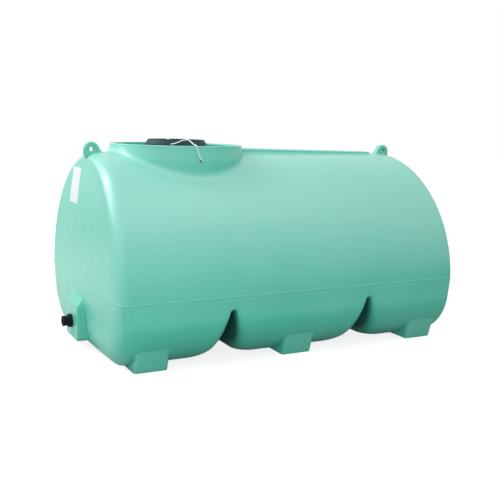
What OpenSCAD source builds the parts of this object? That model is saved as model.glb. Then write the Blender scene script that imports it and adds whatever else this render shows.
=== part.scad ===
// Horizontal liquid fertilizer tank, rotationally moulded in one body with
// three bays, six feet, two lifting lugs, a raised manway turret and a rib along the crown.
// X runs along the tank with the outlet end at -X, Y across it, Z up.
// The origin is on the ground under the middle of the tank.

/* [Body] */
// Length of the straight barrel between the two rounded ends
barrel_len = 2300; // [1800:10:3000]
// Length of each rounded end beyond the barrel, at the seam
end_len = 235; // [190:5:400]
// Overall width of the body
body_w = 1824; // [1500:2:2100]
// Height of the crown above the ground
crown_z = 1410; // [1250:5:1700]
// Height of the mould seam, where the body is widest
seam_z = 485; // [400:5:560]
// Height of the underside of the bays above the ground
belly_z = 10; // [5:1:60]
// Wall thickness of the moulding
wall = 11; // [6:0.5:16]
// Fullness of the arch: 2 is an ellipse, more is squarer
arch_power = 2; // [1.9:0.05:2.6]
// Radius between the sides and the underside
belly_r = 330; // [250:5:350]
// How full the rounding of an end's edge is: 2 is an ellipse, more is squarer
edge_power = 2.4; // [2:0.1:3]
// Depth of the edge rounding at the crown, along the tank
edge_depth_top = 110; // [60:5:150]
// Depth of the edge rounding at the seam, along the tank
edge_depth_mid = 60; // [50:5:160]
// Depth of the edge rounding at the underside, along the tank
edge_depth_low = 120; // [100:5:195]
// How far the edge rounding reaches into the end at the crown
edge_reach_top = 60; // [40:5:180]
// How far the edge rounding reaches into the end at the seam
edge_reach_mid = 310; // [150:5:320]
// How far the edge rounding reaches into the end at the underside
edge_reach_low = 215; // [150:5:290]
// How far the face of each end leans in at the crown
lean_top = 85; // [0:5:150]
// How far the face of each end leans in at the underside
lean_low = 40; // [0:5:100]
// How far the face of each end bows back at its sides
bow = 35; // [0:5:80]

/* [Crown rib] */
// Distance of the rib's far end from the end of the straight barrel
rib_gap = 50; // [0:5:600]
// Width of the rib
rib_w = 150; // [80:5:220]
// Height of the rib above the crown at the turret
rib_h = 36; // [14:1:50]
// Height of the rib above the crown at its far end
rib_low_h = 16; // [8:1:40]

/* [Seam] */
// How far the mould seam stands out
seam_proud = 3; // [1:0.5:6]
// Height of the mould seam
seam_h = 7; // [3:0.5:12]

/* [Slots between the bays] */
// Distance of each slot from the middle of the tank
slot_x = 556; // [450:2:700]
// Width of the slot just under its roof
slot_w = 48; // [40:1:90]
// Further width that the slot gains down to the underside
slot_draft = 154; // [0:2:200]
// Height of the slot's roof above the ground
slot_top = 390; // [300:2:420]
// Radius where the slot's walls turn out into the sides, at the underside
slot_mouth_r = 130; // [60:5:160]
// The same radius under the slot's roof
slot_mouth_top_r = 20; // [14:1:40]
// Radius where the slot's walls turn into the underside
slot_edge_r = 100; // [20:5:120]

/* [Feet] */
// Distance between the middle foot and each outer foot
foot_pitch = 1112; // [1000:2:1250]
// Length of a foot along the tank, at the ground
foot_len = 238; // [150:2:320]
// Depth of a foot across the tank, at the ground
foot_depth = 240; // [150:5:300]
// Distance of a foot's outer face from the side of the body, at the ground
foot_inset = 102; // [80:2:200]
// Height where a foot's outer face runs out into the body
foot_h = 150; // [100:5:200]
// How far that face leans out over this height
foot_lean = 45; // [20:5:60]

/* [Manway turret] */
// Distance of the turret's rim from the end of the straight barrel
turret_gap = 33; // [25:1:100]
// Outer radius of the turret at its rim
turret_r = 492; // [440:1:495]
// Height of the turret's rim above the crown
rim_rise = 62; // [30:1:80]
// How much wider the turret is at the crown than at its rim
turret_flare = 16; // [0:1:30]
// Thickness of the turret's rim
rim_w = 30; // [14:1:40]
// Depth of the rim below its top
rim_h = 16; // [8:1:24]
// Height of the basin's floor above the crown
deck_rise = 4; // [2:1:12]
// Height over which the turret's wall flares
flare_h = 90; // [40:5:120]
// Radius of the manway opening in the basin's floor
manway_r = 200; // [150:1:205]
// Thickness of the manway's collar
collar_w = 20; // [12:1:22]
// Height of the manway's collar above the basin's floor
collar_h = 60; // [40:1:62]

/* [Lid] */
// Outer radius of the lid at its foot
lid_r = 235; // [225:1:260]
// Height of the lid
lid_h = 40; // [30:1:60]
// How much narrower the lid is at its top
lid_taper = 25; // [2:1:35]
// Wall thickness of the lid
lid_wall = 5; // [3:0.5:8]
// Gap between the basin's floor and the lid's lower edge
lid_gap = 52; // [30:1:58]
// Number of grip ribs round the lid
grip_count = 8; // [4:1:12]

/* [Tether] */
// Radius of the tether cord
cord_r = 4; // [3:0.5:4.5]
// Height of the tether's hole in the turret below the crown
cord_hole_drop = 39; // [30:1:70]
// Outer radius of the eyelet round the tether's hole
eyelet_r = 10; // [7:0.5:14]

/* [Lifting lugs] */
// Distance of each lug's hole in from the face of the end at the seam
lug_inset = 110; // [60:5:150]
// Height of the lug's hole above the crown
lug_rise = 20; // [-10:1:30]
// Radius of the lug's hole
lug_hole_r = 17; // [10:0.5:25]
// Radius of the lug's round top
lug_r = 53; // [40:1:70]
// Thickness of a lug
lug_w = 50; // [30:1:70]
// Length of the lug along the crown
lug_len = 125; // [120:5:240]

/* [Outlet] */
// Height of the outlet's centre above the ground
outlet_z = 190; // [160:1:240]
// Radius of the bore through the outlet
outlet_bore_r = 26; // [12:0.5:30]
// Outer radius of the outlet's pipe
outlet_pipe_r = 37; // [30:0.5:45]
// Outer radius of the outlet's flange
outlet_flange_r = 50; // [45:1:65]
// Width of the flat boss that carries the outlet
boss_w = 310; // [180:5:340]
// How far the boss stands out past the face of the end at the seam
boss_out = 45; // [40:1:110]
// Height of the boss's lower edge above the ground
boss_low = 64; // [40:1:110]
// Height where the boss starts to slope back into the end
boss_top = 335; // [280:1:360]
// Thickness of the outlet's flange
flange_w = 20; // [10:1:30]
// How far the outlet's pipe stands out from its flange
pipe_out = 42; // [30:1:90]

/* [Hidden] */

green = [0.53, 0.83, 0.76];
black = [0.15, 0.18, 0.19];
slate = [0.28, 0.37, 0.39];

eps = 1;               // overshoot of a cutting tool
bore_reach = 300;      // how far the outlet's cutter runs on into the tank
seat = 0.3;            // clearance of a piece from its curved seat
gasket_h = 5;          // thickness of the rubber gaskets
turret_root = 0.7;     // share of the arch's height where the turret's wall is sure to be inside
eye_w = 16;            // width and height of the lid's eye
eye_depth = 24;        // depth of the lid's eye
nut_w = 22;            // thickness of the outlet's back nut
tail_past = 20;        // how far the outlet's tail runs on past that nut
nut_lap = 4;           // how much wider the nut is than the outlet's flange
gasket_in = 3;         // how far the outlet's gasket stays back from the flange's edge
rim_bevel = 4;         // bevel on both edges of the turret's rim
grip_w = 12;           // thickness of the lid's grip ribs
grip_drop = 2;         // how far the grip ribs stay below the lid's edge
eye_rise = 2;          // height of the lid's eye above the lid's foot
mouth_steps = 4;       // flats round each corner of a slot's mouth
wall_rows = 4;         // rows of points up a slot's straight wall
eyelet_lip = 2.5;      // how far the eyelet stands out of the wall on either side
cord_sides = 8;        // flats round the tether cord
arch_steps = 40;       // flats round the arch
belly_steps = 8;       // flats round each lower corner
corner_steps = 6;      // flats round the edge of an end
face_steps = 2;         // rings over the face of an end

half_w = body_w / 2;
half_barrel = barrel_len / 2;
end_x = half_barrel + end_len;
belly_flat = half_w - belly_r;
lug_x = end_x - lug_inset;
rim_z = crown_z + rim_rise;
deck_z = crown_z + deck_rise;
turret_foot_r = turret_r + turret_flare;
turret_x = half_barrel - turret_gap - turret_r;
collar_z = deck_z + collar_h;
roof_z = slot_top - slot_w / 2;
outlet_face = end_x + boss_out;

plate_z = collar_z + gasket_h;
eye_angle = -120.5;    // direction of the lid's eye from the turret's axis
eyelet_x = -638;       // place of the tether's eyelet along the tank

// Route of the tether, from the lid's eye over the lid's edge and the rim to the eyelet
cord_points = [
    [-746, -207, 1476], [-731, -216, 1479], [-714, -222, 1484], [-697, -225, 1491],
    [-680, -227, 1499], [-663, -229, 1505], [-648, -232, 1509], [-636, -239, 1510],
    [-629, -253, 1507], [-627, -272, 1501], [-630, -300, 1494], [-635, -335, 1488],
    [-643, -370, 1484], [-652, -405, 1481], [-661, -440, 1479], [-668, -468, 1479],
    [-672, -484, 1479], [-673, -495, 1475], [-671, -500, 1466], [-668, -503, 1452],
    [-664, -507, 1434], [-658, -513, 1412], [-651, -521, 1392], [-645, -526, 1382],
    [-640, -525, 1375], [-638, -519, 1372], [-638, -512, 1371], [-638, -498, 1371],
    [-638, -484, 1371]];

// ---- Section of the body ----

// Size at height z of what measures top at the crown, mid at the seam and low at the underside
function by_height(z, top, mid, low) = z > seam_z
    ? mid + (top - mid) * (z - seam_z) / (crown_z - seam_z)
    : mid + (low - mid) * (seam_z - z) / (seam_z - belly_z);

function edge_depth(z) = by_height(z, edge_depth_top, edge_depth_mid, edge_depth_low);
function edge_reach(z) = by_height(z, edge_reach_top, edge_reach_mid, edge_reach_low);

// How far the skin at height z is set in: t for the wall, and the share k of the edge rounding
function inset(z, t, k) = t + (edge_reach(z) - t) * k;

// Point of the arch, set in by d; a = 0 and 180 lie on the seam
function arch_point(a, d) =
    [sign(cos(a)) * (half_w - d) * pow(abs(cos(a)), 2 / arch_power),
     seam_z + (crown_z - d - seam_z) * pow(sin(a), 2 / arch_power)];

function arch_line(t, k) =
    [for (i = [0 : arch_steps])
        let (a = 180 * i / arch_steps)
        arch_point(a, inset(arch_point(a, 0)[1], t, k))];

// Lower corner on one side, from the vertical flank down to the underside
function belly_corner(side, t, k) =
    [for (i = [0 : belly_steps])
        let (a = 90 * i / belly_steps,
             r = belly_r - inset(belly_z + belly_r * (1 - sin(a)), t, k))
        [side * (belly_flat + r * cos(a)), belly_z + belly_r - r * sin(a)]];

function reversed(list) = [for (i = [len(list) - 1 : -1 : 0]) list[i]];

// The whole outline [y, z], counter-clockwise from the seam at +Y over the crown
function section(t, k = 0) =
    concat(arch_line(t, k), belly_corner(-1, t, k), reversed(belly_corner(1, t, k)));

// Strip of wall between two outlines that run the same way
function strip(outer, inner) = concat(outer, reversed(inner));

// Extrudes a shape drawn in the YZ plane from x0 to x1
module along_x(x0, x1) {
    translate([x0, 0, 0]) rotate([90, 0, 90]) linear_extrude(height = x1 - x0) children();
}

// Extrudes a shape drawn in the XZ plane over a width w centred on Y = 0
module across_y(w) {
    rotate([90, 0, 0]) translate([0, 0, -w / 2]) linear_extrude(height = w) children();
}

// ---- Rounded ends ----

// X of the face of an end at [y, z]: bowed from side to side, and from the seam up and down
function end_face(y, z) =
    end_x - bow * pow(y / half_w, 2)
    - lean_top * pow(max(0, (z - seam_z) / (crown_z - seam_z)), 2)
    - lean_low * pow(max(0, (seam_z - z) / (seam_z - belly_z)), 2);

// One ring of the edge rounding at angle a, for a wall depth t
function edge_ring(t, a) =
    let (flat = section(t, 1 - pow(cos(a), 2 / edge_power)), rim = section(0, 1), skin = section(0),
         back = 1 - pow(sin(a), 2 / edge_power))
    [for (i = [0 : len(skin) - 1])
        [end_face(rim[i][0], rim[i][1]) - t - (edge_depth(skin[i][1]) - t) * back,
         flat[i][0], flat[i][1]]];

// One ring of the face inside the rounding, shrunk by s about its middle at the seam
function face_ring(t, s) =
    [for (p = section(t, 1))
        let (y = p[0] * s, z = seam_z + (p[1] - seam_z) * s)
        [end_face(y, z) - t, y, z]];

// Rings from the barrel's end to the last ring of the face, for a wall depth t
function end_rings(t) = concat(
    [[for (p = section(t)) [half_barrel, p[0], p[1]]]],
    [for (i = [0 : corner_steps]) edge_ring(t, 90 * i / corner_steps)],
    [for (i = [1 : face_steps]) face_ring(t, 1 - i / (face_steps + 1))]);

function end_tip(t) = [end_face(0, seam_z) - t, 0, seam_z];

function flatten(lists) = [for (list = lists) each list];

// Triangles between ring k and ring k + 1 of n points, starting at point base
function ring_faces(base, rings, n, flip) =
    [for (k = [0 : rings - 2], i = [0 : n - 1])
        let (a = base + k * n + i, b = base + k * n + (i + 1) % n, c = b + n, d = a + n)
        each (flip ? [[a, c, b], [a, d, c]] : [[a, b, c], [a, c, d]])];

function tip_faces(base, n, tip, flip) =
    [for (i = [0 : n - 1])
        let (a = base + i, b = base + (i + 1) % n)
        flip ? [b, a, tip] : [a, b, tip]];

// Hollow end at +X
module end_shell() {
    outer = end_rings(0);
    inner = end_rings(wall);
    n = len(outer[0]);
    rings = len(outer);
    count = n * rings;
    points = concat(flatten(outer), [end_tip(0)], flatten(inner), [end_tip(wall)]);
    start = count + 1;
    annulus = [for (i = [0 : n - 1])
        let (a = i, b = (i + 1) % n)
        each [[a, b, start + b], [a, start + b, start + a]]];
    polyhedron(points, concat(
        ring_faces(0, rings, n, true),
        tip_faces(count - n, n, count, true),
        ring_faces(start, rings, n, false),
        tip_faces(start + count - n, n, start + count, false),
        annulus));
}

// Solid inside the outer skin of the end at +X
module end_solid() {
    outer = end_rings(0);
    n = len(outer[0]);
    rings = len(outer);
    polyhedron(concat(flatten(outer), [end_tip(0)]), concat(
        [[for (i = [0 : n - 1]) i]],
        ring_faces(0, rings, n, true),
        tip_faces(n * (rings - 1), n, n * rings, true)));
}

module left_end() {
    color(green) difference() {
        mirror([1, 0, 0]) end_shell();
        boss_space(wall);
    }
}

module right_end() {
    color(green) end_shell();
}

// ---- Barrel and bays ----

// Wall of the arch above the seam
module arch_wall() {
    polygon(strip(arch_line(0, 0), arch_line(wall, 0)));
}

// Lower half of the section, set in by t, from up above the seam
module tub_area(t, up) {
    polygon(concat(
        [[half_w - t, seam_z + up], [-half_w + t, seam_z + up]],
        belly_corner(-1, t, 0), reversed(belly_corner(1, t, 0))));
}

module upper_shell() {
    color(green) difference() {
        along_x(-half_barrel, half_barrel) arch_wall();
        translate([-turret_x, 0, seam_z]) cylinder(r = turret_foot_r - wall, h = crown_z, $fn = 96);
    }
}

// Rows of a slot from below the underside up to its roof, each [height, half width, mouth
// radius, half width of the body], for a wall depth t
function slot_rows(t) =
    let (roof_r = slot_w / 2, straight_z = belly_z + slot_edge_r)
    concat(
        [[belly_z - eps, slot_half(belly_z) + slot_edge_r, slot_mouth_r, belly_flat]],
        [for (a = [0 : 30 : 90])
            let (z = belly_z + slot_edge_r * (1 - cos(a)))
            [z, slot_half(z) + slot_edge_r * (1 - sin(a)), mouth_radius(z), flank(z)]],
        [for (i = [1 : wall_rows])
            let (z = straight_z + (roof_z - straight_z) * i / (wall_rows + 1))
            [z, slot_half(z), mouth_radius(z), flank(z)]],
        [for (a = [0 : 20 : 80])
            let (z = roof_z + roof_r * sin(a))
            [roof_z + (roof_r + t) * sin(a), (roof_r + t) * cos(a) - t,
             slot_mouth_top_r, flank(z)]]);

// Share of a slot's flare at height z: 0 at the foot of its round roof, 1 at the underside
function flare_share(z) = (roof_z - z) / (roof_z - belly_z);

// Half width between a slot's walls at height z
function slot_half(z) = (slot_w + slot_draft * flare_share(z)) / 2;

// Radius of the slot's mouth at height z
function mouth_radius(z) =
    slot_mouth_top_r + (slot_mouth_r - slot_mouth_top_r) * flare_share(z);

// Half width of the body at height z below the seam
function flank(z) =
    let (up = belly_z + belly_r - z)
    up > 0 ? belly_flat + sqrt(max(0, belly_r * belly_r - up * up)) : half_w;

// Plan of a slot for one row, grown by t on every side
function slot_plan(row, t) =
    let (h = row[1] + t, r = row[2] - t, y = row[3] - t, past = half_w + wall,
         mouth = concat(
             [for (i = [0 : mouth_steps])
                 let (a = 90 * i / mouth_steps)
                 [h + r * (1 - cos(a)), y - r * (1 - sin(a))]],
             [[h + r, past]]))
    concat(
        mouth,
        [for (p = reversed(mouth)) [-p[0], p[1]]],
        [for (p = mouth) [-p[0], -p[1]]],
        [for (p = reversed(mouth)) [p[0], -p[1]]]);

// Solid through a list of rings with equally many points, closed at both ends
module loft(rings) {
    n = len(rings[0]);
    last = n * (len(rings) - 1);
    polyhedron(flatten(rings), concat(
        [[for (i = [0 : n - 1]) i]],
        ring_faces(0, len(rings), n, true),
        [[for (i = [n - 1 : -1 : 0]) last + i]]));
}

// Space of a slot, grown by t into the bays on both sides
module slot_space(t) {
    loft([for (row = slot_rows(t)) [for (p = slot_plan(row, t)) [p[0], p[1], row[0]]]]);
}

// Wall of the body below the seam from x0 to x1, round the slots centred on the list slots,
// as one closed skin of its true size
module bay_wall(x0, x1, slots) {
    resize([x1 - x0, body_w, seam_z - belly_z]) difference() {
        along_x(x0, x1) tub_area(0, 0);
        for (x = slots) translate([x, 0, 0]) slot_space(0);
        difference() {
            along_x(x0 - eps, x1 + eps) tub_area(wall, eps);
            for (x = slots) translate([x, 0, 0]) slot_space(wall);
        }
    }
}

module left_bay() {
    color(green) bay_wall(-half_barrel, -slot_x, [-slot_x]);
}

module middle_bay() {
    color(green) bay_wall(-slot_x, slot_x, [-slot_x, slot_x]);
}

module right_bay() {
    color(green) bay_wall(slot_x, half_barrel, [slot_x]);
}

// ---- Seam ----

// Plan of the body at the seam, moved out by d
function seam_plan(d) =
    let (rings = end_rings(0), far = [for (ring = rings) ring[0]],
         quarter = [for (p = far) [p[0] + d, p[1] + d]],
         tip = [end_tip(0)[0] + d, 0])
    concat(
        quarter, [tip], [for (p = reversed(quarter)) [p[0], -p[1]]],
        [for (p = quarter) [-p[0], -p[1]]], [[-tip[0], 0]],
        [for (p = reversed(quarter)) [-p[0], p[1]]]);

module mould_seam() {
    color(green) translate([0, 0, seam_z - seam_h / 2]) linear_extrude(height = seam_h)
        difference() {
            polygon(seam_plan(seam_proud));
            polygon(seam_plan(seat));
        }
}

// ---- Crown rib ----

// Low flat-topped rib along the crown, sloping down from the turret's wall
module crown_rib() {
    near = -turret_x;
    far = half_barrel - rib_gap;
    slope = (rib_h - rib_low_h) / (far - near - turret_foot_r);
    color(green) difference() {
        across_y(rib_w) polygon([
            [near, crown_z - rib_h], [far, crown_z - rib_h], [far, crown_z + rib_low_h],
            [near, crown_z + rib_low_h + slope * (far - near)]]);
        along_x(-half_barrel, half_barrel) polygon(arch_line(0, 0));
        about_turret() translate([0, crown_z - 2 * rib_h]) square([turret_foot_r + seat, 4 * rib_h]);
    }
}

// ---- Feet ----

// Foot under the +Y side at the tank's middle, cut to the underside
module foot() {
    outer = half_w - foot_inset;
    inner = outer - foot_depth;
    difference() {
        along_x(-foot_len / 2, foot_len / 2) polygon([
            [inner, 0], [outer, 0], [outer + foot_lean, foot_h], [inner, foot_h]]);
        along_x(-foot_len, foot_len) tub_area(0, 0);
    }
}

module left_front_foot() { color(green) translate([-foot_pitch, 0, 0]) mirror([0, 1, 0]) foot(); }
module middle_front_foot() { color(green) mirror([0, 1, 0]) foot(); }
module right_front_foot() { color(green) translate([foot_pitch, 0, 0]) mirror([0, 1, 0]) foot(); }
module left_rear_foot() { color(green) translate([-foot_pitch, 0, 0]) foot(); }
module middle_rear_foot() { color(green) foot(); }
module right_rear_foot() { color(green) translate([foot_pitch, 0, 0]) foot(); }

// ---- Lifting lugs ----

// Side view of a lug at +X, with room for its foot inside the skin
module lug_outline() {
    hole_z = crown_z + lug_rise;
    low = crown_z - edge_reach_top;
    outer = lug_x + lug_r;
    inner = outer - lug_len;
    hull() {
        translate([lug_x, hole_z]) circle(r = lug_r, $fn = 48);
        translate([outer - eps, low]) square(eps);
        translate([inner, low]) square([eps, crown_z - low - eps]);
    }
}

module lug() {
    difference() {
        across_y(lug_w) lug_outline();
        translate([lug_x, 0, crown_z + lug_rise]) rotate([90, 0, 0])
            cylinder(r = lug_hole_r, h = 2 * lug_w, center = true, $fn = 32);
        end_solid();
        along_x(0, half_barrel) polygon(section(0));
    }
}

module left_lifting_lug() { color(green) mirror([1, 0, 0]) lug(); }
module right_lifting_lug() { color(green) lug(); }

// ---- Manway turret ----

// Revolves a profile [radius, height] about the turret's axis
module about_turret() {
    translate([-turret_x, 0, 0]) rotate_extrude($fn = 96) children();
}

// Wall of the turret: straight under the rim's flare, cut to the crown of the barrel
module turret_wall() {
    top = rim_z - rim_h;
    low = seam_z + (crown_z - seam_z) * turret_root;
    color(green) difference() {
        about_turret() polygon([
            [turret_foot_r - wall, low], [turret_foot_r, low], [turret_foot_r, top - flare_h],
            [turret_r, top], [turret_r - wall, top], [turret_foot_r - wall, top - flare_h]]);
        along_x(-half_barrel - eps, half_barrel) polygon(arch_line(0, 0));
        eyelet_cylinder(eyelet_r, 4 * wall);
    }
}

// Cylinder along Y through the tether's hole, on the -Y side of the turret
module eyelet_cylinder(r, reach) {
    translate([eyelet_x, wall / 2 - turret_foot_r, crown_z - cord_hole_drop]) rotate([90, 0, 0])
        cylinder(r = r, h = reach, center = true, $fn = 32);
}

module tether_eyelet() {
    color(black) difference() {
        eyelet_cylinder(eyelet_r, wall + 2 * eyelet_lip);
        eyelet_cylinder(cord_r + seat, 4 * wall);
    }
}

module turret_rim() {
    color(green) about_turret() polygon([
        [turret_r - rim_w, rim_z - rim_h], [turret_r, rim_z - rim_h],
        [turret_r, rim_z - rim_bevel], [turret_r - rim_bevel, rim_z],
        [turret_r - rim_w + rim_bevel, rim_z], [turret_r - rim_w, rim_z - rim_bevel]]);
}

// Inner radius of the turret's wall at height z
function turret_bore(z) =
    turret_r - wall + turret_flare * min(1, (rim_z - rim_h - z) / flare_h);

module basin_floor() {
    color(green) about_turret() polygon([
        [manway_r, deck_z - wall], [turret_bore(deck_z - wall), deck_z - wall],
        [turret_bore(deck_z), deck_z], [manway_r, deck_z]]);
}

module manway_collar() {
    color(green) about_turret() polygon([
        [manway_r, deck_z], [manway_r + collar_w, deck_z],
        [manway_r + collar_w, collar_z], [manway_r, collar_z]]);
}

module lid_gasket() {
    color(black) about_turret() polygon([
        [manway_r, collar_z], [manway_r + collar_w, collar_z],
        [manway_r + collar_w, plate_z], [manway_r, plate_z]]);
}

// Outer radius of the lid at height z above its foot
function lid_skin(z) = lid_r - lid_taper * z / lid_h;

// Moulded screw lid: a tapered skirt closed by a top plate that bears on the gasket
module manway_lid() {
    low = deck_z + lid_gap;
    high = low + lid_h;
    plate_r = lid_skin(plate_z - low) - lid_wall;
    color(slate) about_turret() polygon([
        [0, plate_z], [plate_r, plate_z], [lid_r - lid_wall, low],
        [lid_r, low], [lid_skin(lid_h), high], [lid_skin(lid_h) - lid_wall, high],
        [plate_r, plate_z + lid_wall], [0, plate_z + lid_wall]]);
}

module lid_grips() {
    plate = plate_z + lid_wall;
    high = deck_z + lid_gap + lid_h;
    hub = lid_r / 4;
    color(slate) translate([-turret_x, 0, plate]) for (i = [0 : grip_count - 1])
        rotate([0, 0, 360 * i / grip_count]) translate([hub, -grip_w / 2, 0])
            cube([lid_skin(lid_h) - 2 * lid_wall - hub, grip_w, high - plate - grip_drop]);
}

// Small moulded eye on the skirt, where the tether is made fast
module lid_eye() {
    low = deck_z + lid_gap;
    color(slate) difference() {
        translate([-turret_x, 0, low + eye_rise]) rotate([0, 0, eye_angle])
            translate([lid_r - eye_depth / 2, -eye_w, 0]) cube([eye_depth, eye_w, eye_w]);
        about_turret() polygon([
            [0, low - 1], [lid_skin(-1), low - 1], [lid_skin(lid_h), low + lid_h], [0, low + lid_h]]);
    }
}

// ---- Outlet ----

// Cylinder of radius r along X through the outlet
module outlet_bore(r) {
    translate([-end_x - 2 * boss_out, 0, outlet_z]) rotate([0, 90, 0])
        cylinder(r = r, h = 2 * boss_out + bore_reach, $fn = 48);
}

// Space of the boss set in by t, from its flat face back into the end
module boss_space(t) {
    across_y(boss_w - 2 * t) polygon([
        [-outlet_face + t, boss_low + t], [-outlet_face + t, boss_top - t],
        [-end_x, boss_top + boss_out - 2 * t], [-half_barrel, boss_top + boss_out - 2 * t],
        [-half_barrel, boss_low + t]]);
}

module outlet_boss() {
    color(green) difference() {
        boss_space(0);
        boss_space(wall);
        mirror([1, 0, 0]) end_solid();
        outlet_bore(outlet_pipe_r);
    }
}

// Revolves a profile [radius, distance out from the boss's flat face] about the outlet's axis
module about_outlet(sides = 64) {
    translate([-outlet_face, 0, outlet_z]) rotate([0, -90, 0]) rotate_extrude($fn = sides)
        children();
}

// Ring about the outlet's axis between the distances d0 and d1 out from the boss's face
module outlet_ring(d0, d1, outer, inner) {
    about_outlet() translate([inner, d0]) square([outer - inner, d1 - d0]);
}

module outlet_gasket() {
    color(black) outlet_ring(0, gasket_h, outlet_flange_r - gasket_in, outlet_pipe_r);
}

// Fitting in one piece: tail through the wall, flange, and the open pipe outside
module outlet_fitting() {
    tail = wall + nut_w + tail_past;
    flange = gasket_h + flange_w;
    tip = flange + pipe_out;
    color(black) about_outlet() polygon([
        [outlet_bore_r, -tail], [outlet_pipe_r, -tail], [outlet_pipe_r, gasket_h],
        [outlet_flange_r, gasket_h], [outlet_flange_r, flange], [outlet_pipe_r, flange],
        [outlet_pipe_r, tip], [outlet_bore_r, tip]]);
}

module outlet_back_nut() {
    color(black) difference() {
        translate([-outlet_face + wall, 0, outlet_z]) rotate([0, 90, 0])
            cylinder(r = outlet_flange_r + nut_lap, h = nut_w, $fn = 6);
        outlet_bore(outlet_pipe_r);
    }
}

// ---- Tether ----

function unit(v) = v / norm(v);

// Direction of the route at point i
function heading(i) =
    unit(cord_points[min(i + 1, len(cord_points) - 1)] - cord_points[max(i - 1, 0)]);

module tether_cord() {
    color("white") loft([for (i = [0 : len(cord_points) - 1])
        let (t = heading(i), u = unit(cross(t, [1, 0, 0])), v = cross(t, u))
        [for (k = [0 : cord_sides - 1])
            let (a = 360 * k / cord_sides)
            cord_points[i] + cord_r * (u * cos(a) + v * sin(a))]]);
}

upper_shell();
left_end();
right_end();
left_bay();
middle_bay();
right_bay();
mould_seam();
crown_rib();
left_front_foot();
middle_front_foot();
right_front_foot();
left_rear_foot();
middle_rear_foot();
right_rear_foot();
left_lifting_lug();
right_lifting_lug();
turret_wall();
turret_rim();
basin_floor();
manway_collar();
lid_gasket();
manway_lid();
lid_grips();
lid_eye();
tether_eyelet();
tether_cord();
outlet_boss();
outlet_gasket();
outlet_fitting();
outlet_back_nut();
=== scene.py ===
"""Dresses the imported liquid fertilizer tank: one smooth moulded body, its turret, feet, lugs
and boss, the manway lid with its tether, and the outlet. Metres, in the frame of the solids."""

import math

import bmesh
import bpy
from mathutils import Matrix, Vector
from mathutils.bvhtree import BVHTree


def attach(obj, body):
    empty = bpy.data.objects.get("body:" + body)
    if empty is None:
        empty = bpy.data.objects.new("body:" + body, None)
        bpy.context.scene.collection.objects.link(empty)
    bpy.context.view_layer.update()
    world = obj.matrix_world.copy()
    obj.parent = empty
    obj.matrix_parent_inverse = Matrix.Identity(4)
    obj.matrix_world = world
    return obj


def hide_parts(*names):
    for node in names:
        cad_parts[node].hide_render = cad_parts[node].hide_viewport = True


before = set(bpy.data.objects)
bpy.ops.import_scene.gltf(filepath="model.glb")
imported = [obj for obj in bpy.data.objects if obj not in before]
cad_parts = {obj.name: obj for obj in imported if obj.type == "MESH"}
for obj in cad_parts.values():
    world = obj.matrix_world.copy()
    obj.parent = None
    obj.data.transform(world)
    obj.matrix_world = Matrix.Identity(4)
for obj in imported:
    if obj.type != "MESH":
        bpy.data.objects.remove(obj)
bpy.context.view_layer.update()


def new_object(name, data):
    """Object with that mesh, curve, camera or lamp, in the scene."""
    made = bpy.data.objects.new(name, data)
    bpy.context.scene.collection.objects.link(made)
    return made


# ---- Camera ----

CAMERA_AT = (-2.7968, -5.4072, 1.6324)
CAMERA_YAW = 27.54      # degrees from +Y towards +X
CAMERA_PITCH = 9.33     # degrees down
CAMERA_ROLL = 1.43      # degrees
CAMERA_LENS = 55.19     # mm
CAMERA_SENSOR = 36      # mm across


def add_camera():
    yaw, pitch, roll = (math.radians(a) for a in (CAMERA_YAW, CAMERA_PITCH, CAMERA_ROLL))
    ahead = Vector((math.sin(yaw) * math.cos(pitch), math.cos(yaw) * math.cos(pitch),
                    -math.sin(pitch)))
    right = Vector((math.cos(yaw), -math.sin(yaw), 0))
    up = right.cross(ahead)
    side = math.cos(roll) * right + math.sin(roll) * up
    top = math.cos(roll) * up - math.sin(roll) * right
    data = bpy.data.cameras.new("camera")
    data.lens = CAMERA_LENS
    data.sensor_width = CAMERA_SENSOR
    camera = new_object("camera", data)
    turn = Matrix((side, top, -ahead)).transposed().to_4x4()
    camera.matrix_world = Matrix.Translation(CAMERA_AT) @ turn
    bpy.context.scene.camera = camera


add_camera()

# ---- Sizes of the moulding ----

HALF_BARREL = 1.150     # from the tank's middle to where the ends start
END_X = 1.385           # middle of an end's face
HALF_W = 0.912          # half the width at the seam
CROWN = 1.410           # height of the crown
SEAM = 0.485            # height of the moulding line
BELLY = 0.010           # height of the underside
BELLY_R = 0.330         # radius of the long corners beside the underside
BELLY_FLAT = HALF_W - BELLY_R
EDGE_POWER = 2.4        # how square the rounding round an end is: 2 is an ellipse
EDGE_DEPTH = (0.110, 0.060, 0.120)   # along X, at the crown, the seam and the underside
EDGE_REACH = (0.060, 0.310, 0.215)   # across the face, at the same heights
EDGE_LEADS = (0.35, 0.7)             # rings before it: shares of the way from the barrel
LEAN_TOP = 0.085        # how far an end's face lies back at the crown
LEAN_LOW = 0.040        # the same at the underside
BOW = 0.035             # the same at the sides

SLOT_X = 0.556          # from the tank's middle to a slot's middle
SLOT_W = 0.048          # width under the roof
SLOT_DRAFT = 0.154      # how much wider the slot is at the underside
ROOF_Z = 0.366          # foot of the round roof
MOUTH_LOW = 0.130       # radius from a wall out into the side, at the underside
MOUTH_TOP = 0.020       # the same under the roof
SLOT_EDGE = 0.100       # radius from a wall into the underside

SECOND_LINE = SEAM - 0.030    # fine step below the seam

# Steps along each curve of the skin
ARCH_N = 96
CORNER_N = 18
EDGE_N = 14
FACE_N = 8
MOUTH_N = 8
ACROSS_N = 10
ROOF_N = 16
BAY_N = 14

# ---- Meshes ----

WELD = 2e-6         # points nearer than this become one
NO_AREA = 1e-12     # smaller faces are dropped
SHARP = 38          # degrees at which an edge stays sharp


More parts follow.
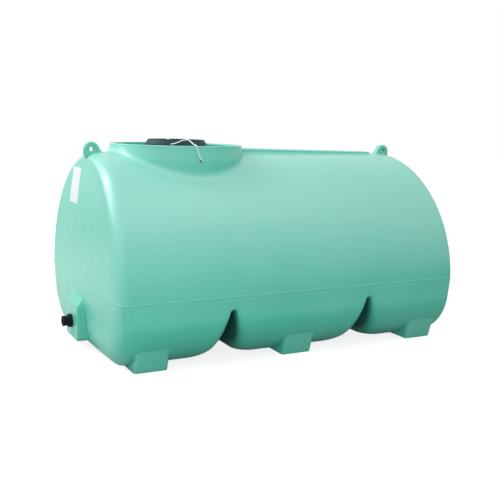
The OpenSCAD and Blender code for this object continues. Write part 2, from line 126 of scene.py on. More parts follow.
class Skin:
    """Collects grids of points as quads and welds them into one smooth mesh."""

    def __init__(self):
        self.bm = bmesh.new()

    def grid(self, rows, around=False, along=False):
        """Quads between equally long rows of points. around closes each row, and along joins the
        last row to the first."""
        made = [[self.bm.verts.new(p) for p in row] for row in rows]
        n = len(rows[0])
        pairs = list(zip(made[:-1], made[1:])) + ([(made[-1], made[0])] if along else [])
        for low, high in pairs:
            for i in range(n if around else n - 1):
                j = (i + 1) % n
                self.face([low[i], low[j], high[j], high[i]])

    def face(self, corners):
        """Face between vertices, left out where they are fewer than three."""
        if len(set(corners)) > 2:
            self.bm.faces.new(corners)

    def fan(self, ring, middle):
        """Triangles from a closed ring of points to one point."""
        made = [self.bm.verts.new(p) for p in ring]
        hub = self.bm.verts.new(middle)
        for i in range(len(made)):
            self.face([made[i], made[(i + 1) % len(made)], hub])

    def tube(self, rings, first, last):
        """Quads between closed rings, with a fan to a point at each end."""
        self.grid(rings, around=True)
        self.fan(rings[0], first)
        self.fan(rings[-1], last)

    def close(self):
        """Welds the grids together, with every face turned outward."""
        bmesh.ops.remove_doubles(self.bm, verts=self.bm.verts, dist=WELD)
        empty = [f for f in self.bm.faces if f.calc_area() < NO_AREA]
        bmesh.ops.delete(self.bm, geom=empty, context="FACES")
        bmesh.ops.recalc_face_normals(self.bm, faces=self.bm.faces)

    def tree(self):
        self.bm.normal_update()
        return BVHTree.FromBMesh(self.bm)

    def piece(self, name, sharp=SHARP):
        self.close()
        mesh = bpy.data.meshes.new(name)
        self.bm.to_mesh(mesh)
        mesh.shade_smooth()
        mesh.set_sharp_from_angle(angle=math.radians(sharp))
        return new_object(name, mesh)


def hoop(name, rings, sharp=SHARP):
    """Piece from closed rings, of which the last joins the first."""
    skin = Skin()
    skin.grid(rings, around=True, along=True)
    return skin.piece(name, sharp)


def steps(n):
    """Shares from 0 to 1 in n steps."""
    return [i / n for i in range(n + 1)]


def arc(n, low=0.0, high=90.0):
    """Angles in radians from low to high degrees in n steps."""
    return [math.radians(low + (high - low) * t) for t in steps(n)]


def turns(n):
    """Angles of n even steps round a circle."""
    return [2 * math.pi * i / n for i in range(n)]


def quarter(u, v, radius, start, n):
    """Quarter circle about (u, v) in n steps, anticlockwise from start degrees."""
    return [(u + radius * math.cos(a), v + radius * math.sin(a))
            for a in arc(n, start, start + 90)]


def mix(a, b, t):
    return a + (b - a) * t


# ---- Section of the body ----


def by_height(z, sizes):
    """Size at height z, from those at the crown, the seam and the underside."""
    top, mid, low = sizes
    if z > SEAM:
        return mix(mid, top, (z - SEAM) / (CROWN - SEAM))
    return mix(mid, low, (SEAM - z) / (SEAM - BELLY))


def arch_z(y):
    """Height of the arch above the seam at y."""
    return SEAM + (CROWN - SEAM) * math.sqrt(max(0.0, 1 - (y / HALF_W) ** 2))


def end_face(y, z):
    """Distance of an end's face from the tank's middle."""
    up = max(0.0, (z - SEAM) / (CROWN - SEAM))
    down = max(0.0, (SEAM - z) / (SEAM - BELLY))
    return END_X - BOW * (y / HALF_W) ** 2 - LEAN_TOP * up ** 2 - LEAN_LOW * down ** 2


def slot_half(z):
    """Half width between a slot's walls, with the rounding into the underside."""
    half = (SLOT_W + SLOT_DRAFT * (ROOF_Z - z) / (ROOF_Z - BELLY)) / 2
    rise = max(0.0, 1 - (z - BELLY) / SLOT_EDGE)
    return half + SLOT_EDGE * (1 - math.sqrt(max(0.0, 1 - rise ** 2)))


def mouth(z):
    """Radius of a slot's mouth at height z."""
    return mix(MOUTH_TOP, MOUTH_LOW, (ROOF_Z - z) / (ROOF_Z - BELLY))


def flank(z):
    """Half width of the body at height z, up to the seam."""
    up = BELLY + BELLY_R - z
    return BELLY_FLAT + math.sqrt(max(0.0, BELLY_R ** 2 - up ** 2)) if up > 0 else HALF_W


def mouth_plan(half, side_y, radius):
    """Plan of one wall of a slot and its mouths, from +Y to -Y: [x from the slot's middle, y]."""
    turn = [(half + radius * (1 - math.cos(b)), side_y - radius * (1 - math.sin(b)))
            for b in arc(MOUTH_N, 90, 0)]
    across = [(half, (side_y - radius) * (1 - 2 * t)) for t in steps(ACROSS_N)[1:-1]]
    return turn + across + [(x, -y) for x, y in reversed(turn)]


CORNER_Z = [BELLY + BELLY_R * (1 - math.sin(a)) for a in arc(CORNER_N)]
FLANK_Z = [SECOND_LINE, ROOF_Z]
UNDER_PLAN = mouth_plan(slot_half(BELLY), BELLY_FLAT, MOUTH_LOW)


def section(k):
    """Closed outline from the seam at +Y over the crown, drawn in by share k of the rounding:
    [y, z, height of that point on the barrel]."""
    points = []
    for a in arc(ARCH_N, 0, 180):
        z = SEAM + (CROWN - SEAM) * math.sin(a)
        d = by_height(z, EDGE_REACH) * k
        points.append(((HALF_W - d) * math.cos(a), SEAM + (CROWN - d - SEAM) * math.sin(a), z))
    side = [(HALF_W - by_height(z, EDGE_REACH) * k, z, z) for z in FLANK_Z]
    for a, z in zip(arc(CORNER_N), CORNER_Z):
        r = BELLY_R - by_height(z, EDGE_REACH) * k
        side.append((BELLY_FLAT + r * math.cos(a), BELLY + BELLY_R - r * math.sin(a), z))
    low = BELLY + EDGE_REACH[2] * k
    under = [(-y, low, BELLY) for _, y in UNDER_PLAN[1:-1]]
    points += [(-y, z, s) for y, z, s in side] + under + side[::-1]
    return points


SKIN = section(0)
LOWER = list(range(ARCH_N + 2, len(SKIN) - 1))     # from the slots' roof at -Y round to +Y


def end_rings():
    """Rings from the barrel's end over the rounded edge and the face to the middle of an end."""
    rim = section(1)
    rings = [[(HALF_BARREL, y, z) for y, z, _ in SKIN]]
    for t in EDGE_LEADS:
        rings.append([(mix(HALF_BARREL, end_face(ry, rz) - by_height(s, EDGE_DEPTH), t), y, z)
                      for (y, z, s), (ry, rz, _) in zip(SKIN, rim)])
    for a in arc(EDGE_N):
        ring = section(1 - max(0.0, math.cos(a)) ** (2 / EDGE_POWER))
        back = 1 - math.sin(a) ** (2 / EDGE_POWER)
        rings.append([(end_face(ry, rz) - by_height(s, EDGE_DEPTH) * back, y, z)
                      for (y, z, s), (ry, rz, _) in zip(ring, rim)])
    for t in steps(FACE_N)[1:-1]:
        flat = [(y * (1 - t), mix(z, SEAM, t)) for y, z, _ in rim]
        rings.append([(end_face(y, z), y, z) for y, z in flat])
    return rings


END_RINGS = end_rings()


def slot_offset(i):
    """How far the moulding stays back from a slot's middle at point i of the section."""
    y, z, _ = SKIN[i]
    if z > BELLY + WELD:
        return slot_half(z) + mouth(z)
    past = max(0.0, min(1.0, (abs(y) - BELLY_FLAT + MOUTH_LOW) / MOUTH_LOW))
    return slot_half(BELLY) + MOUTH_LOW * (1 - math.sqrt(max(0.0, 1 - past ** 2)))


def add_slot(skin, middle):
    """Walls, mouths and round roof of the slot round x = middle."""
    heights = CORNER_Z[::-1] + [ROOF_Z]
    for way in (-1, 1):
        skin.grid([[(middle + way * x, y, z)
                    for x, y in mouth_plan(slot_half(z), flank(z), mouth(z))] for z in heights])
    plan = mouth_plan(SLOT_W / 2, HALF_W, MOUTH_TOP)
    skin.grid([[(middle + r * math.cos(a), y, ROOF_Z + r * math.sin(a)) for r, y in plan]
               for a in arc(ROOF_N, 180, 0)])


def add_lower(skin, low, high):
    """Skin below the slots' roof between the lists of x, low and high, along the section."""
    skin.grid([[(mix(low[n], high[n], t), SKIN[i][0], SKIN[i][1]) for n, i in enumerate(LOWER)]
               for t in steps(BAY_N)])


def body_skin():
    """Outer skin of the whole body, cut open by its two slots."""
    skin = Skin()
    for way in (-1, 1):
        rings = [[(way * x, y, z) for x, y, z in ring] for ring in END_RINGS]
        skin.grid(rings, around=True)
        skin.fan(rings[-1], (way * END_X, 0, SEAM))
    back = [slot_offset(i) for i in LOWER]
    barrel = [HALF_BARREL] * len(LOWER)
    add_lower(skin, [-x for x in barrel], [-SLOT_X - b for b in back])
    add_lower(skin, [-SLOT_X + b for b in back], [SLOT_X - b for b in back])
    add_lower(skin, [SLOT_X + b for b in back], barrel)
    add_slot(skin, -SLOT_X)
    add_slot(skin, SLOT_X)
    reach = SLOT_W / 2 + MOUTH_TOP
    start = -HALF_BARREL
    columns = [(start, ROOF_Z)]
    for middle in (-SLOT_X, SLOT_X):
        columns += [(mix(start, middle - reach, t), ROOF_Z) for t in steps(BAY_N)[1:]]
        columns += [(middle + reach * math.cos(a), ROOF_Z + reach * math.sin(a))
                    for a in arc(ROOF_N, 180, 0)[1:]]
        start = middle + reach
    columns += [(mix(start, HALF_BARREL, t), ROOF_Z) for t in steps(BAY_N)[1:]]
    for way in (-1, 1):
        skin.grid([[(x, way * HALF_W, z) for x, z in columns],
                   [(x, way * HALF_W, SECOND_LINE) for x, _ in columns],
                   [(x, way * HALF_W, SEAM) for x, _ in columns]])
    skin.grid([[(x, SKIN[i][0], SKIN[i][1]) for i in range(ARCH_N + 1)] for x, _ in columns])
    skin.close()
    return skin


BODY = body_skin()
TREE = BODY.tree()
SINK = 0.0003        # how far the lip of a fillet dips under the body's skin
FILLET_IN = 0.006    # how far the wall behind a fillet runs on inside the body
PIERCE = 0.008       # how far the walls of a foot or boss run on inside the body
ROOM = 0.4           # share of such a wall that the bevel at its end may take up


def hit(start, way):
    """Where a line from start meets the body."""
    place = TREE.ray_cast(start, way)[0]
    if place is None:
        raise ValueError(f"no body from {tuple(start)} along {tuple(way)}")
    return place


def bend(a, corner, b, n=6):
    """Points on a smooth bend from a to b."""
    return [a * (1 - t) ** 2 + corner * (2 * t * (1 - t)) + b * t ** 2 for t in steps(n)]


def add_fillet(skin, foot, reaches):
    """Fillet where a piece meets the body. foot lists (start on its wall, way along the wall to
    the body, way out), and reaches the sizes."""
    rings = []
    for (start, way, out), reach in zip(foot, reaches):
        base = hit(start, way)
        size = min(reach, 0.5 * (base - start).length)
        lip, normal, _, _ = TREE.find_nearest(base + out * size)
        lip -= normal * SINK
        rings.append(bend(base - way * size, base, lip) + [base + way * FILLET_IN])
    skin.grid(rings, around=True, along=True)


def run_in(rings, ends, ways, n):
    """Adds n rings from the last one to just past the ends, where the walls meet the body."""
    start = rings[-1]
    for t in steps(n)[1:]:
        rings.append([a.lerp(b + w * PIERCE, t) for a, b, w in zip(start, ends, ways)])


def rounded_box(half_u, half_v, radius, n=5):
    """Rectangle with round corners about the origin: [u, v, outward u, outward v]."""
    loop = []
    for k, (su, sv) in enumerate(((1, 1), (-1, 1), (-1, -1), (1, -1))):
        for a in arc(n, 90 * k, 90 * k + 90):
            c, s = math.cos(a), math.sin(a)
            loop.append((su * (half_u - radius) + radius * c,
                         sv * (half_v - radius) + radius * s, c, s))
    return loop


# ---- Seam ----

SEAM_RIDGE = (0.0030, 0.007)    # how far it stands out, and its height
SEAM_STEP = (0.0007, 0.006)
SEAM_IN = 0.003                 # how far both run on inside the skin
SEAM_SHARP = 70                 # degrees
SEAM_N = 6


def waist(z, station):
    """Quarter of the body's plan at height z, from the barrel to the middle of the end at +X.
    station is the point of the section that lies at that height."""
    rings = END_RINGS[:-FACE_N + 1]
    edge = [Vector((ring[station][0], abs(ring[station][1]))) for ring in rings]
    inner = [edge[-1].y * (1 - t) for t in steps(FACE_N)[1:]]
    return edge + [Vector((end_face(y, z), y)) for y in inner]


def seam_line(name, z, station, proud, height):
    """Low half-round ridge right round the body at height z."""
    side = waist(z, station)
    loop = side + [Vector((p.x, -p.y)) for p in reversed(side[:-1])]
    loop += [-p for p in side] + [Vector((-p.x, p.y)) for p in reversed(side[:-1])]
    rings = []
    for i, p in enumerate(loop):
        along = loop[(i + 1) % len(loop)] - loop[i - 1]
        out = Vector((-along.y, along.x)).normalized()
        ring = []
        for a in arc(SEAM_N, -90, 90):
            q = p + out * (proud * math.cos(a) - SINK)
            ring.append((q.x, q.y, z + height / 2 * math.sin(a)))
        back = p - out * SEAM_IN
        rings.append(ring + [(back.x, back.y, z)])
    return hoop(name, rings, SEAM_SHARP)


# ---- Crown rib ----

RIB_HALF = 0.075        # half its width
RIB_NEAR = -0.170       # end inside the turret's wall
RIB_ROOT = -0.117       # where it leaves the turret
RIB_FAR = 1.100         # free end
RIB_HIGH = 0.036        # height over the crown at the root
RIB_LOW = 0.016         # the same at the free end
RIB_IN = 0.020          # depth of its middle under the crown
RIB_FILLET = 0.016
RIB_EDGE = 0.012        # radius of its long top edges
RIB_TIP = 0.010         # radius of the top edge at the free end
RIB_N = 16


def rib_profile(top):
    """Half of the rib's cross-section from the crown's skin up to its middle: [y, z]."""
    base = arch_z(RIB_HALF)
    rise = max(top - base, 0.001)
    fillet = min(RIB_FILLET, 0.45 * rise)
    edge = min(RIB_EDGE, 0.40 * rise)
    lip_y = RIB_HALF + fillet
    foot = bend(Vector((lip_y, arch_z(lip_y) - SINK)), Vector((RIB_HALF, base)),
                Vector((RIB_HALF, base + fillet)), 5)
    turn = [Vector((RIB_HALF - edge * (1 - math.cos(a)), top - edge * (1 - math.sin(a))))
            for a in arc(4)]
    return foot + turn + [Vector((y, top)) for y in (0.05, 0.025)]


def crown_rib():
    """Flat rib along the crown, lower towards its free end."""
    stations = [(mix(RIB_NEAR, RIB_FAR - RIB_TIP, t), 0.0) for t in steps(RIB_N)]
    stations += [(RIB_FAR - RIB_TIP + RIB_TIP * math.sin(a), RIB_TIP * (1 - math.cos(a)))
                 for a in arc(4)[1:]]
    rings = []
    for x, drop in stations:
        t = (x - RIB_ROOT) / (RIB_FAR - RIB_ROOT)
        half = rib_profile(CROWN + mix(RIB_HIGH, RIB_LOW, t) - drop)
        full = half + [Vector((0, half[-1].y))] + [Vector((-p.x, p.y)) for p in reversed(half)]
        rings.append([(x, p.x, p.y) for p in full] + [(x, 0, CROWN - RIB_IN)])
    rings.append([(RIB_FAR, y, min(z, arch_z(y) - 0.002)) for _, y, z in rings[-1]])
    skin = Skin()
    skin.tube(rings, (RIB_NEAR, 0, CROWN), (RIB_FAR, 0, CROWN - RIB_IN / 2))
    return skin.piece("crown_rib_moulding")


# ---- Turret ----

TURRET_X = -0.625       # its upright axis
TURRET_R = 0.492        # radius of the rim
TURRET_FLARE = 0.016    # how much wider the wall is FLARE_H below the rim
FLARE_H = 0.090
RIM_Z = 1.472           # top of the rim
RIM_H = 0.016
RIM_W = 0.030           # width of the rim, from the outside inward
RIM_EDGE = 0.005
RIM_CHAMFER = 0.002
DECK = 1.414            # floor of the basin
DECK_ROUND = 0.012      # radius where the floor meets the wall
WALL = 0.011
COLLAR_IN = 0.200
COLLAR_OUT = 0.220
COLLAR_Z = 1.474        # top of the collar
COLLAR_ROUND = 0.008    # radius where the floor meets the collar
TURRET_FILLET = 0.040   # between the wall and the body
TURRET_BACK = 0.020     # from the wall's outside to its back, which the body hides
TURRET_SINK = 0.030     # how far its foot lies under the body's skin
TURRET_N = 160


def turret_r(z):
    """Outer radius of the wall at height z."""
    return TURRET_R + TURRET_FLARE * min(1.0, max(0.0, (RIM_Z - RIM_H - z) / FLARE_H))


def turret_profile(swing):
    """Turret in the upright plane at that swing from +X, from inside the body up the outside,
    over the rim and round the basin: [radius, height]."""
    lean = math.sin(swing)
    base_r = turret_r(arch_z(turret_r(SEAM) * lean))
    lip_r = base_r + TURRET_FILLET
    y = lip_r * lean / HALF_W
    slope = -(CROWN - SEAM) / HALF_W * y / math.sqrt(1 - y * y) * lean
    lip_z = arch_z(lip_r * lean)
    corner = lip_z + slope * (base_r - lip_r)
    rise = min(TURRET_FILLET, 0.6 * (RIM_Z - RIM_H - corner))
    top = corner + rise
    points = [(base_r - TURRET_BACK, corner - TURRET_SINK)]
    points += bend(Vector((lip_r, lip_z - SINK)), Vector((base_r, corner)),
                   Vector((turret_r(top), top)), 8)
    points += [(turret_r(z), z) for z in (mix(top, RIM_Z - RIM_H, t) for t in steps(6)[1:])]
    e = RIM_EDGE
    inner = TURRET_R - RIM_W
    points += quarter(TURRET_R - e, RIM_Z - e, e, 0, 4) + quarter(inner + e, RIM_Z - e, e, 90, 4)
    low = RIM_Z - RIM_H
    c = RIM_CHAMFER
    points += [(inner, low + c), (inner + c, low), (TURRET_R - WALL - 0.003, low),
               (turret_r(low - 0.010) - WALL, low - 0.010)]
    floor_r = turret_r(DECK) - WALL
    r = DECK_ROUND
    points += reversed(quarter(floor_r - r, DECK + r, r, 270, 4))
    r = COLLAR_ROUND
    points += reversed(quarter(COLLAR_OUT + r, DECK + r, r, 180, 3))
    points += [(COLLAR_OUT, COLLAR_Z - c), (COLLAR_OUT - c, COLLAR_Z),
               (COLLAR_IN + c, COLLAR_Z), (COLLAR_IN, COLLAR_Z - c),
               (COLLAR_IN, DECK - WALL), (floor_r - TURRET_BACK, DECK - WALL)]
    return points


def turret():
    """Turret with its rim, basin and collar, revolved about its axis."""
    return hoop("turret_moulding", [[(TURRET_X + r * math.cos(a), r * math.sin(a), z)
                                     for r, z in turret_profile(a)] for a in turns(TURRET_N)])


# ---- Feet ----

FOOT_PITCH = 1.112      # from one foot's middle to the next
FOOT_HALF = 0.119       # half its length along the tank
FOOT_OUTER = 0.810      # outer face at the ground, from the tank's middle plane
FOOT_INNER = 0.570
FOOT_LEAN = 0.30        # how far the outer face leans out for each metre up
FOOT_ROUND = 0.022      # radius of the upright corners
FOOT_BEVEL = 0.006      # round the sole
FOOT_FILLET = 0.010
FOOT_AIM = 0.1          # height at which the walls' direction is taken


def foot_loop(z, inset=0.0):
    """Outline of a foot on the +Y side at height z: (point, way out from it)."""
    outer = FOOT_OUTER + FOOT_LEAN * z
    middle = (FOOT_INNER + outer) / 2
    loop = rounded_box(FOOT_HALF - inset, (outer - FOOT_INNER) / 2 - inset, FOOT_ROUND - inset / 2)
    return [(Vector((u, middle + v, z)), Vector((cu, cv, 0))) for u, v, cu, cv in loop]


def foot(name, x, side):
    """Foot at x that runs up into the body. side is -1 in front and 1 behind."""
    def placed(p):
        return Vector((x + p.x, side * p.y, p.z))

    low = [placed(p) for p, _ in foot_loop(0)]
    high = [placed(p) for p, _ in foot_loop(FOOT_AIM)]
    outs = [Vector((o.x, side * o.y, 0)) for _, o in foot_loop(0)]
    ways = [(b - a).normalized() for a, b in zip(low, high)]
    tops = [hit(a, w) for a, w in zip(low, ways)]
    rings = []
    for inset, lift in ((FOOT_BEVEL, 0.0), (0.3 * FOOT_BEVEL, 0.3 * FOOT_BEVEL),
                        (0.0, FOOT_BEVEL)):
        ring = [placed(p) for p, _ in foot_loop(0, inset)]
        rings.append([p + w * min(lift, ROOM * (t - p).length)
                      for p, w, t in zip(ring, ways, tops)])
    run_in(rings, tops, ways, 5)
    skin = Skin()
    skin.tube(rings, (x, side * (FOOT_OUTER + FOOT_INNER) / 2, 0), (x, side * FOOT_INNER, 0.05))
    add_fillet(skin, list(zip(low, ways, outs)), [FOOT_FILLET] * len(low))
    return skin.piece(name)


# ---- Lifting lugs ----

LUG_X = 1.275           # middle of the eye
LUG_Z = 1.430
LUG_R = 0.053           # radius of the round head
LUG_HALF = 0.025        # half its thickness
LUG_HOLE = 0.017
LUG_INNER = 1.203       # where its slope comes down to LUG_SHOULDER
LUG_SHOULDER = 1.409
LUG_BEVEL = 0.007
LUG_FILLET = 0.012
LUG_ROOT = ((LUG_INNER, 1.360), (1.285, 1.345), (1.303, 1.352), (1.320, 1.372),
            (LUG_X + LUG_R, 1.398))    # outline inside the body
LUG_START = 1.402       # height from which its fillet is laid down
LUG_TAIL_WAY = Vector((-0.62, 0, -0.78))    # way from the head's outer side to the body


def lug_outline(side):
    """Outline of a lug: [x, z]. side is -1 at the left end and 1 at the right."""
    dx, dz = LUG_INNER - LUG_X, LUG_SHOULDER - LUG_Z
    tangent = math.degrees(math.atan2(dz, dx)) % 360 - math.degrees(
        math.acos(LUG_R / math.hypot(dx, dz)))
    points = [(LUG_X + LUG_R * math.cos(a), LUG_Z + LUG_R * math.sin(a))
              for a in arc(36, 0, tangent)]
    points += [(LUG_INNER, LUG_SHOULDER), *LUG_ROOT]
    return [(side * x, z) for x, z in points]


def lug(name, side):
    """Lifting lug: a filled and bevelled outline with its eye, and a fillet round its root."""
    curve = bpy.data.curves.new(name, "CURVE")
    curve.dimensions = "2D"
    curve.fill_mode = "BOTH"
    hole = [(side * LUG_X + LUG_HOLE * math.cos(a), LUG_Z + LUG_HOLE * math.sin(a))
            for a in arc(40, 0, 360)[:-1]]
    for outline in (lug_outline(side), hole):
        spline = curve.splines.new("POLY")
        spline.points.add(len(outline) - 1)
        for point, (x, z) in zip(spline.points, outline):
            point.co = (x, z, 0, 1)
        spline.use_cyclic_u = True
    curve.extrude = LUG_HALF - LUG_BEVEL
    curve.bevel_depth = LUG_BEVEL
    curve.bevel_resolution = 3
    curve.offset = -LUG_BEVEL
    temporary = new_object(name, curve)
    plate = bpy.data.meshes.new_from_object(
        temporary.evaluated_get(bpy.context.evaluated_depsgraph_get()))
    bpy.data.objects.remove(temporary)
    plate.transform(Matrix.Rotation(math.radians(90), 4, "X"))
    skin = Skin()
    skin.bm.from_mesh(plate)
    root = []
    length = (LUG_X + LUG_R - LUG_INNER) / 2
    middle = LUG_X + LUG_R - length
    for u, v, cu, cv in rounded_box(length, LUG_HALF, 0.010, 4):
        t = min(1.0, max(0.0, (u + 0.3 * length) / (1.3 * length)))
        way = Vector((0, 0, -1)).lerp(LUG_TAIL_WAY, t).normalized()
        place = Vector((side * (middle + u), v, LUG_START))
        way = Vector((side * way.x, 0, way.z))
        root.append((place - way * 0.05, way, Vector((side * cu, cv, 0))))
    add_fillet(skin, root, [LUG_FILLET] * len(root))
    return skin.piece(name)


# ---- Outlet ----

BOSS_X = END_X + 0.045  # its flat face
BOSS_HALF = 0.155       # half its width
BOSS_LOW = 0.064
BOSS_TOP = 0.335
BOSS_ROUND = 0.030      # radius of the face's corners
BOSS_EDGE = 0.012       # radius round the face
BOSS_RINGS = (0.030, 0.016)    # rings on the face: how far inside its outline
BOSS_FILLET = 0.018
BOSS_BLEND = 0.040      # further size of the fillet over its sloped top
OUTLET_Z = 0.190        # the outlet's axis
OUTLET_N = 72


def outlet_boss():
    """Boss on the left end: a flat face, and walls that run back into the body."""
    middle = (BOSS_LOW + BOSS_TOP) / 2
    half = (BOSS_TOP - BOSS_LOW) / 2

    def face_loop(inset):
        loop = rounded_box(BOSS_HALF - inset, half - inset, BOSS_ROUND - inset / 2)
        return [(Vector((-BOSS_X, u, middle + v)), Vector((0, cu, cv))) for u, v, cu, cv in loop]

    outline = face_loop(0)
    ways = [Vector((1, 0, max(0.0, o.z))).normalized() for _, o in outline]
    ends = [hit(p, w) for (p, _), w in zip(outline, ways)]
    rings = [[p for p, _ in face_loop(inset)] for inset in BOSS_RINGS]
    for a in arc(4):
        inset = BOSS_EDGE * (1 - math.sin(a))
        back = BOSS_EDGE * (1 - math.cos(a))
        rings.append([p + Vector((min(back, ROOM * (e - p).length), 0, 0))
                      for (p, _), e in zip(face_loop(inset), ends)])
    run_in(rings, ends, ways, 6)
    skin = Skin()
    skin.tube(rings, (-BOSS_X, 0, middle), (-END_X + 0.05, 0, middle))
    add_fillet(skin, [(p, w, o) for (p, o), w in zip(outline, ways)],
               [BOSS_FILLET + BOSS_BLEND * max(0.0, o.z) for _, o in outline])
    return skin.piece("outlet_boss_moulding")


def outlet_fitting():
    """Bulkhead fitting with its open pipe end, revolved from a profile [radius, distance out
    from the boss]."""
    bore, pipe, flange = 0.026, 0.037, 0.050
    root, face, front, tip = -0.053, 0.005, 0.025, 0.067
    profile = [(bore, root), (pipe, root), (pipe, face), (flange - 0.002, face)]
    profile += quarter(flange - 0.003, front - 0.003, 0.003, 0, 3)
    profile += [(pipe + 0.004, front), (pipe + 0.001, front + 0.003), (pipe, front + 0.008),
                (pipe, tip - 0.012), (pipe + 0.002, tip - 0.010)]
    profile += [(pipe - 0.002 + 0.004 * math.cos(a), tip - 0.006 + 0.006 * math.sin(a))
                for a in arc(4)]
    profile += [(bore + 0.002, tip), (bore, tip - 0.002)]
    return hoop("outlet_fitting_black",
                [[(-BOSS_X - d, r * math.cos(a), OUTLET_Z + r * math.sin(a)) for r, d in profile]
                 for a in turns(OUTLET_N)])


# ---- Lid and tether ----

LID_N = 360
LID_LOW = 1.466          # foot of the skirt
LID_TOP = 1.506          # top of the raised ring
LID_SHARP = 30           # degrees
LIP_R = 0.235            # lip round the foot of the skirt
LIP_IN = 0.2295          # its inner radius
LIP_H = 0.008
LIP_EDGE = 0.002
SKIRT_R = 0.228          # foot of the sloped skirt
SKIRT_FOOT = 0.012       # its height over the foot of the lip
RING_EDGE_R = 0.212      # where the skirt turns into the ring's top
RING_EDGE = 0.006        # depth of that turn
RING_R = (0.2005, 0.2045)              # between which the ring's top is flat
RING_ROUND = 0.002       # radius of its inner edge
PLATE_Z = 1.484          # sunk plate inside the ring
PLATE_LOW = 1.479        # its underside
PLATE_RINGS = (0.050, 0.120, 0.192, 0.195)    # radii of its points
PLATE_ROUND = 0.003      # radius from the plate up to the ring
SOCKET_R = 0.225         # hollow under the plate
NOTCHES = (87, 177, 267, 357)          # degrees from +X
NOTCH_DEEP = 0.014
NOTCH_HALF = math.radians(4)
GRIP_COUNT = 8
GRIP_HALF = 0.006        # half the width of a grip rib
GRIP_FROM = 0.059        # the radii between which it runs
GRIP_TO = 0.198
GRIP_TOP = 1.502
GRIP_IN = 0.001          # how far it runs down into the plate
GRIP_ROUND = 0.003
EYE_SWING = math.radians(-120.5)
EYE_AT = (0.2235, 1.476)              # radius and height of the eye's middle
EYE_SIZE = (0.0115, 0.008, 0.008)     # half its length, width and height
EYE_ROUND = 0.004
EYE_EDGE = 0.003


def lid_profile(swing):
    """Lid from the middle of its top to the middle of its underside: [radius, height]."""
    off = min(abs(math.remainder(swing - math.radians(a), 2 * math.pi)) for a in NOTCHES)
    cut = NOTCH_DEEP * max(0.0, 1 - off / NOTCH_HALF)
    top = LID_TOP - cut
    *flat, rim = PLATE_RINGS
    points = [(r, PLATE_Z) for r in flat]
    points += quarter(rim, PLATE_Z + PLATE_ROUND, PLATE_ROUND, 270, 3)
    start, end = RING_R
    inner = top - RING_ROUND
    points += [(start - RING_ROUND, mix(PLATE_Z + PLATE_ROUND, inner, 0.5))]
    points += reversed(quarter(start, inner, RING_ROUND, 90, 3))
    points += [(end + (RING_EDGE_R - end) * math.sin(a), top - RING_EDGE * (1 - math.cos(a)))
               for a in arc(5)]
    points += [(mix(RING_EDGE_R, SKIRT_R, t), mix(top - RING_EDGE, LID_LOW + SKIRT_FOOT, t))
               for t in (0.33, 0.66, 1.0)]
    e = LIP_EDGE
    lip = LID_LOW + LIP_H
    points += [(LIP_IN, lip + e / 2), (LIP_R - e, lip), (LIP_R, lip - e), (LIP_R, LID_LOW + e),
               (LIP_R - e, LID_LOW), (LIP_IN + e / 2, LID_LOW), (LIP_IN, LID_LOW + e),
               (SOCKET_R, PLATE_LOW), (flat[0], PLATE_LOW)]
    return points


def lid():
    """Screw lid: a sunk plate in a raised ring with four notches, and a sloped skirt."""
    columns = [[(TURRET_X + r * math.cos(a), r * math.sin(a), z) for r, z in lid_profile(a)]
               for a in turns(LID_N)]
    skin = Skin()
    skin.tube(list(zip(*columns)), (TURRET_X, 0, PLATE_Z), (TURRET_X, 0, PLATE_LOW))
    return skin.piece("manway_lid_moulded", LID_SHARP)


def bar(skin, place, half, round_r, top_r):
    """Bar with round upright corners and a round top edge. half lists its half sizes."""
    levels = [(0.0, -half[2])]
    levels += [(top_r * (1 - math.cos(a)), half[2] - top_r * (1 - math.sin(a))) for a in arc(3)]
    rings = []
    for inset, z in levels:
        loop = rounded_box(half[0] - inset, half[1] - inset, max(0.0005, round_r - inset), 3)
        rings.append([place @ Vector((u, v, z)) for u, v, _, _ in loop])
    skin.tube(rings, place @ Vector((0, 0, -half[2])), place @ Vector((0, 0, half[2])))


def turned(swing, radius, z):
    """Placement at that radius from the turret's axis, its own X pointing outward."""
    return (Matrix.Translation((TURRET_X, 0, z)) @ Matrix.Rotation(swing, 4, "Z")
            @ Matrix.Translation((radius, 0, 0)))


def lid_grips():
    """Grip ribs on the plate, like spokes."""
    skin = Skin()
    low = PLATE_Z - GRIP_IN
    for swing in turns(GRIP_COUNT):
        place = turned(swing, (GRIP_FROM + GRIP_TO) / 2, (low + GRIP_TOP) / 2)
        bar(skin, place, ((GRIP_TO - GRIP_FROM) / 2, GRIP_HALF, (GRIP_TOP - low) / 2),
            GRIP_ROUND, GRIP_ROUND)
    return skin.piece("lid_grip_ribs")


def lid_eye():
    """Small block on the lid's skirt that the tether comes out of."""
    skin = Skin()
    place = turned(EYE_SWING, *EYE_AT) @ Matrix.Translation((0, -EYE_SIZE[1], 0))
    bar(skin, place, EYE_SIZE, EYE_ROUND, EYE_EDGE)
    return skin.piece("lid_tether_eye")


